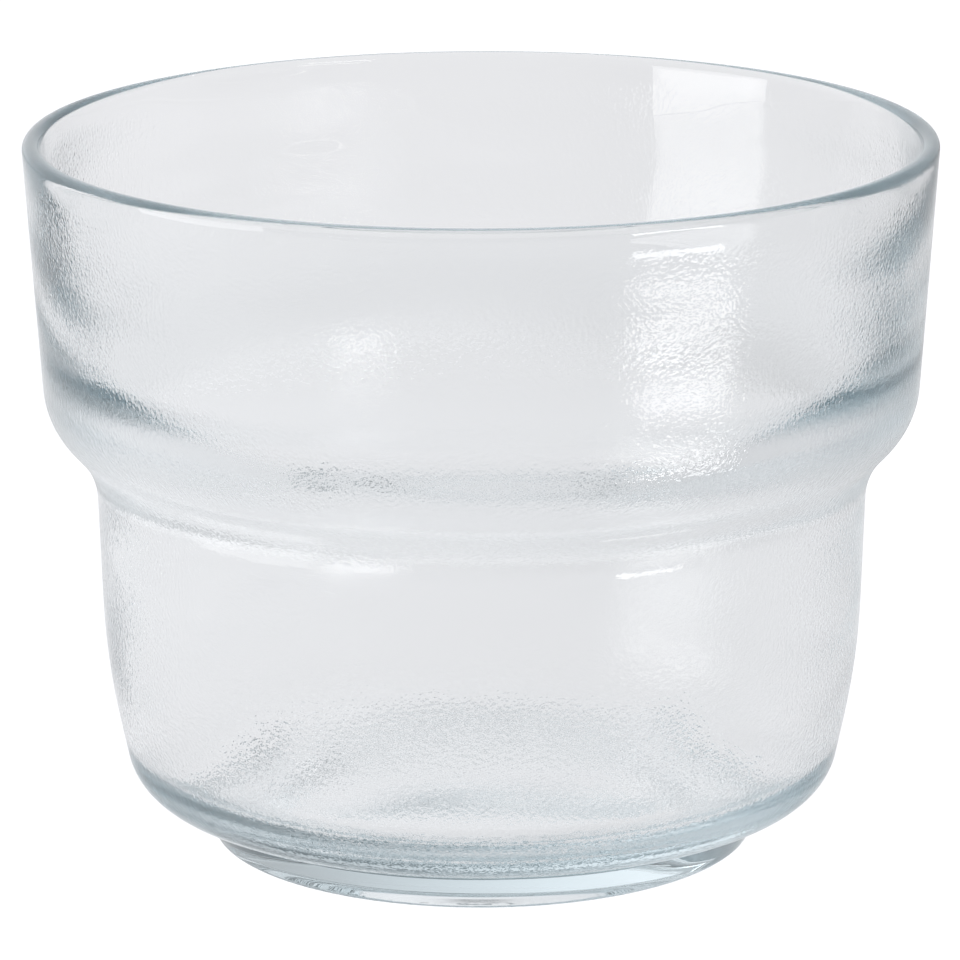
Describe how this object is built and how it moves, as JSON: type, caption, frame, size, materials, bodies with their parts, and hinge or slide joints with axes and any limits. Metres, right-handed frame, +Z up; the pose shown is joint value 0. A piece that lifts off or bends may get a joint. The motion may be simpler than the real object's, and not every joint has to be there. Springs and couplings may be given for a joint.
{
  "type": "drinking glass",
  "caption": "Stackable clear glass drinking cup: a wide upper bowl steps in to a narrower lower bowl on a low foot ring, so that cups nest.",
  "frame": {"origin": "centre of the ring that the cup stands on, at table height", "axes": "+Z up along the cup's axis of revolution; the cup is round, so +X and +Y are any two directions at right angles across it"},
  "size_m": [0.0898, 0.0898, 0.071],
  "materials": {
    "clear_glass": "clear pressed glass, fire-polished lip and inside, faint orange-peel texture on the outside walls, fine stipple on the foot ring"
  },
  "bodies": {
    "root": {"glass_cup": "clear_glass"}
  },
  "joints": []
}
